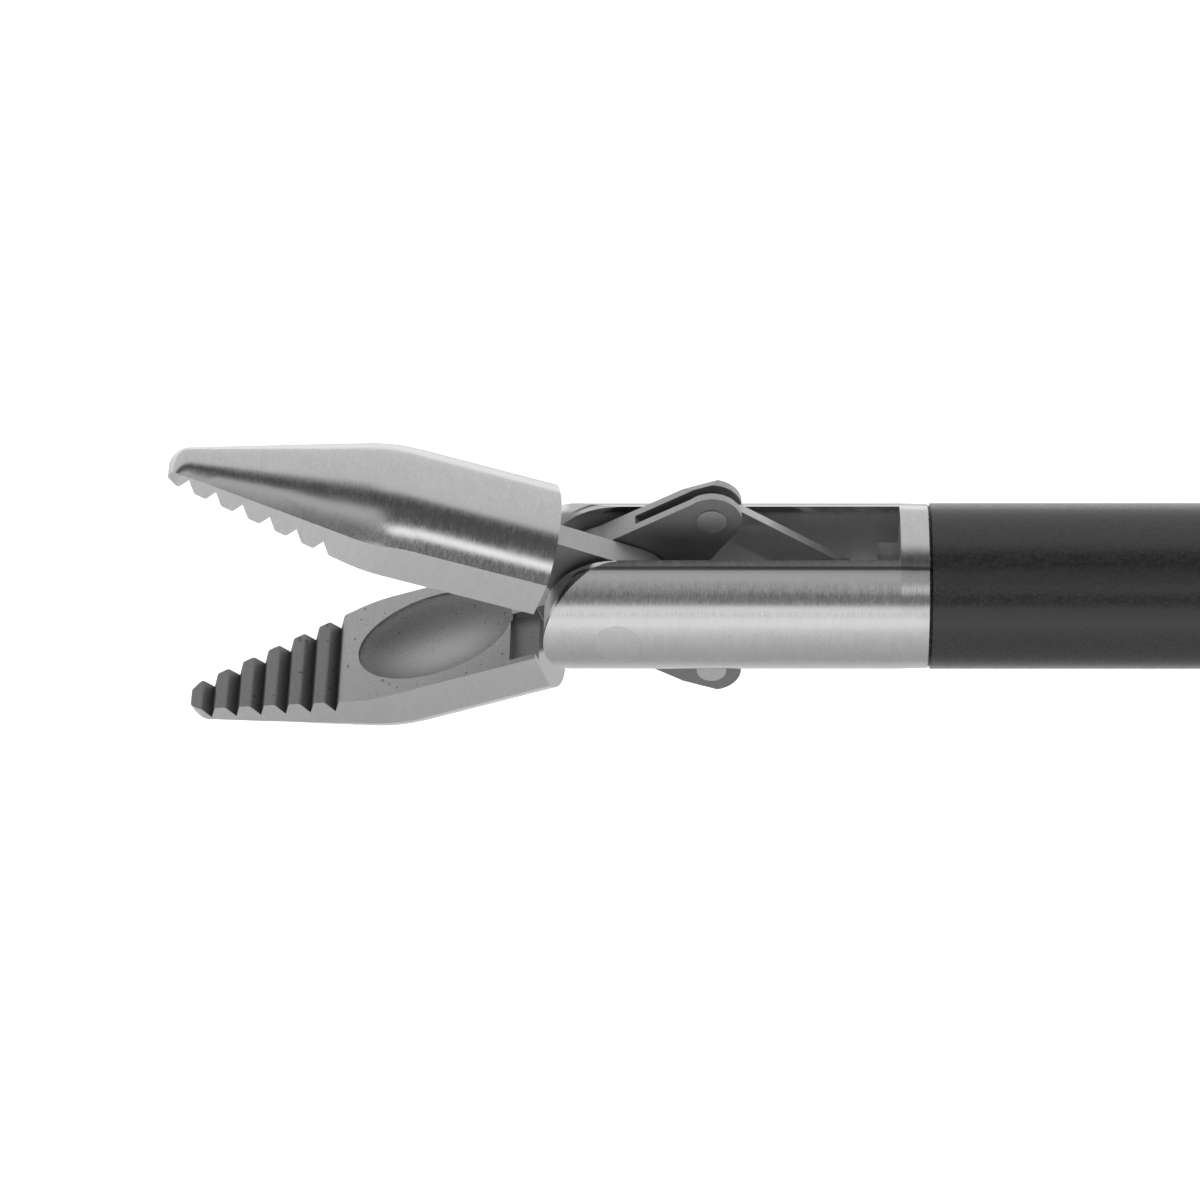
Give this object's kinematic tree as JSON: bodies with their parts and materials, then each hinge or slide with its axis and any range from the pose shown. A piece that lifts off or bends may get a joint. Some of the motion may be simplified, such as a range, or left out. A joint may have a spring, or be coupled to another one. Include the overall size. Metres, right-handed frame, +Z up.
{
  "type": "laparoscopic grasper",
  "caption": "Laparoscopic grasper: double-action toothed jaws with a scooped cup, slotted yoke, insulated shaft, rotation knob and ring handle with ratchet.",
  "frame": {"origin": "on the shaft's axis, at the front end of the insulating sleeve", "axes": "+X along the shaft towards the handle, Y along the jaws' pivot pin, +Z up, jaws opening in XZ"},
  "size_m": [0.4351, 0.1141, 0.024],
  "materials": {
    "jaw_steel": "satin, fine cross brushing",
    "pin_steel": "ground",
    "link_steel": "satin",
    "rod_steel": "drawn",
    "seal_rubber": "soft silicone",
    "yoke_steel": "satin polish",
    "sleeve_black": "fine satin extrusion",
    "tube_steel": "drawn",
    "hub_metal": "turned",
    "knob_plastic": "fine spark-eroded grain",
    "spring_steel": "plain",
    "handle_plastic": "fine spark-eroded grain",
    "lever_plastic": "fine spark-eroded grain",
    "liner_rubber": "soft matt",
    "screw_steel": "turned",
    "ratchet_steel": "stamped and tumbled",
    "cap_plastic": "moulded",
    "post_metal": "plated"
  },
  "bodies": {
    "handle": {"handle_shell_right": "handle_plastic", "handle_shell_left": "handle_plastic", "case_screws": "screw_steel", "finger_ring_liner": "liner_rubber", "lever_screw": "screw_steel", "lever_nut": "screw_steel", "ratchet_bar": "ratchet_steel", "ratchet_rivets": "screw_steel", "rinsing_port": "hub_metal", "electrode_post": "post_metal", "contact_leaf": "spring_steel"},
    "lever": {"thumb_lever": "lever_plastic", "thumb_ring_liner": "liner_rubber", "catch_pin": "pin_steel"},
    "catch": {"ratchet_catch": "ratchet_steel"},
    "cap": {"port_cap": "cap_plastic"},
    "shaft": {"insulating_sleeve": "sleeve_black", "shaft_tube": "tube_steel", "shaft_hub": "hub_metal", "rotation_knob": "knob_plastic", "hub_o_rings": "seal_rubber", "retaining_ring": "spring_steel", "clevis": "yoke_steel", "jaw_pivot_pin": "pin_steel", "rod_seals": "seal_rubber"},
    "rod": {"push_rod": "rod_steel", "rod_end": "link_steel", "link_pin": "pin_steel", "rod_ball": "rod_steel"},
    "upper_jaw_body": {"upper_jaw": "jaw_steel", "upper_knuckle_pin": "pin_steel"},
    "lower_jaw_body": {"lower_jaw": "jaw_steel", "lower_knuckle_pin": "pin_steel"},
    "upper_link_body": {"upper_link": "link_steel"},
    "lower_link_body": {"lower_link": "link_steel"}
  },
  "joints": [
    {"name": "lever_swing", "type": "hinge", "parent": "handle", "child": "lever", "pos_m": [0.355, -0.006, 0], "axis": [0, 0, -1], "range_deg": [-3.2, 12.8]},
    {"name": "shaft_spin", "type": "hinge", "parent": "handle", "child": "shaft", "pos_m": [0, 0, 0], "axis": [1, 0, 0], "continuous": true},
    {"name": "rod_slide", "type": "slide", "parent": "shaft", "child": "rod", "axis": [1, 0, 0], "range_m": [-0.00035, 0.00139]},
    {"name": "upper_jaw_swing", "type": "hinge", "parent": "shaft", "child": "upper_jaw_body", "pos_m": [-0.0094, 0, 0], "axis": [0, -1, 0], "range_deg": [-5.01, 20.01]},
    {"name": "lower_jaw_swing", "type": "hinge", "parent": "shaft", "child": "lower_jaw_body", "pos_m": [-0.0094, 0, 0], "axis": [0, 1, 0], "range_deg": [-5.01, 20.01]},
    {"name": "upper_link_swing", "type": "hinge", "parent": "rod", "child": "upper_link_body", "pos_m": [-0.00269, 0, 0], "axis": [0, 1, 0], "range_deg": [-3.75, 14.97]},
    {"name": "lower_link_swing", "type": "hinge", "parent": "rod", "child": "lower_link_body", "pos_m": [-0.00269, 0, 0], "axis": [0, -1, 0], "range_deg": [-3.75, 14.97]},
    {"name": "ratchet_switch", "type": "hinge", "parent": "lever", "child": "catch", "pos_m": [0.37658, -0.03667, 0], "axis": [0, 0, -1], "range_deg": [0, 10]},
    {"name": "cap_pull", "type": "slide", "parent": "handle", "child": "cap", "axis": [0, 1, 0], "range_m": [0, 0.01]}
  ],
  "couplings": [
    {"joint": "rod_slide", "follows": "lever_swing", "m_per_rad": 0.0062399},
    {"joint": "upper_jaw_swing", "follows": "lever_swing", "ratio": 1.5625},
    {"joint": "lower_jaw_swing", "follows": "lever_swing", "ratio": 1.5625},
    {"joint": "upper_link_swing", "follows": "lever_swing", "ratio": 1.1687},
    {"joint": "lower_link_swing", "follows": "lever_swing", "ratio": 1.1687}
  ]
}
